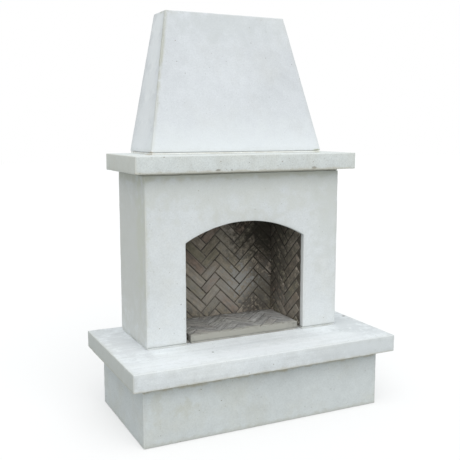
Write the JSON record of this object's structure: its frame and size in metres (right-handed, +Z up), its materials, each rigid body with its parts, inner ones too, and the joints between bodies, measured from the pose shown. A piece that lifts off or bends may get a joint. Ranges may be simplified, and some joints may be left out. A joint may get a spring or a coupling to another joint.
{
  "type": "outdoor fireplace",
  "caption": "Outdoor fireplace of cast concrete: hearth base and slab, body with a low arched opening, herringbone firebox, mantel slab and tapered chimney.",
  "frame": {"origin": "on the ground, in the middle of the hearth's footprint", "axes": "+Z up, the opening faces -Y, +X to the right as one faces the opening"},
  "size_m": [1.6, 0.871, 2.283],
  "materials": {
    "cast_concrete": "smooth cast concrete, light grey-white, matte, faintly mottled, with small pits and a few brown specks",
    "refractory_brick": "cast refractory with a brick face, grey-brown, matte, dusted and sooted",
    "refractory_cast": "cast refractory, rough, matte",
    "mortar": "sanded mortar, matte, struck back",
    "insulation_board": "calcium silicate board, chalky, matte",
    "fibre_gasket": "pressed ceramic fibre, matte",
    "galvanised_steel": "hot-dip galvanised, spangled, satin",
    "stainless_steel": "mill finish, satin",
    "screw_steel": "stainless, satin"
  },
  "bodies": {
    "root": {"base_angle_screw_left_lower": "screw_steel", "base_angle_screw_right_lower": "screw_steel", "base_mortar_bed": "mortar", "base_panel_screw_left_lower": "screw_steel", "base_panel_screw_left_upper": "screw_steel", "base_panel_screw_right_lower": "screw_steel", "base_panel_screw_right_upper": "screw_steel", "base_rear_angle_left": "galvanised_steel", "base_rear_angle_right": "galvanised_steel", "base_rear_panel": "cast_concrete", "base_surround": "cast_concrete", "body_angle_screw_left_lower": "screw_steel", "body_angle_screw_left_upper": "screw_steel", "body_angle_screw_right_lower": "screw_steel", "body_angle_screw_right_upper": "screw_steel", "body_mortar_bed": "mortar", "body_panel_screw_left_lower": "screw_steel", "body_panel_screw_left_upper": "screw_steel", "body_panel_screw_right_lower": "screw_steel", "body_panel_screw_right_upper": "screw_steel", "body_rear_angle_left": "galvanised_steel", "body_rear_angle_right": "galvanised_steel", "body_rear_panel": "cast_concrete", "body_surround": "cast_concrete", "chamber_gasket": "fibre_gasket", "chimney_mortar_bed": "mortar", "chimney_shell": "cast_concrete", "clip_screw_left_lower": "screw_steel", "clip_screw_left_upper": "screw_steel", "clip_screw_right_lower": "screw_steel", "clip_screw_right_upper": "screw_steel", "firebox_back_panel": "refractory_brick", "firebox_floor": "refractory_brick", "firebox_left_panel": "refractory_brick", "firebox_mortar_bed": "mortar", "firebox_right_panel": "refractory_brick", "flue_head_plate": "stainless_steel", "flue_liner": "stainless_steel", "hearth_slab": "cast_concrete", "insulation_back": "insulation_board", "insulation_left": "insulation_board", "insulation_right": "insulation_board", "lintel_angle": "galvanised_steel", "mantel_mortar_bed": "mortar", "mantel_slab": "cast_concrete", "mouth_angle_left": "stainless_steel", "mouth_angle_right": "stainless_steel", "mouth_screw_left": "screw_steel", "mouth_screw_right": "screw_steel", "panel_clip_left_lower": "galvanised_steel", "panel_clip_left_upper": "galvanised_steel", "panel_clip_right_lower": "galvanised_steel", "panel_clip_right_upper": "galvanised_steel", "smoke_chamber": "refractory_cast", "spark_arrestor_frame": "stainless_steel", "spark_arrestor_mesh": "stainless_steel", "support_wall_left": "cast_concrete", "support_wall_right": "cast_concrete"}
  },
  "joints": []
}
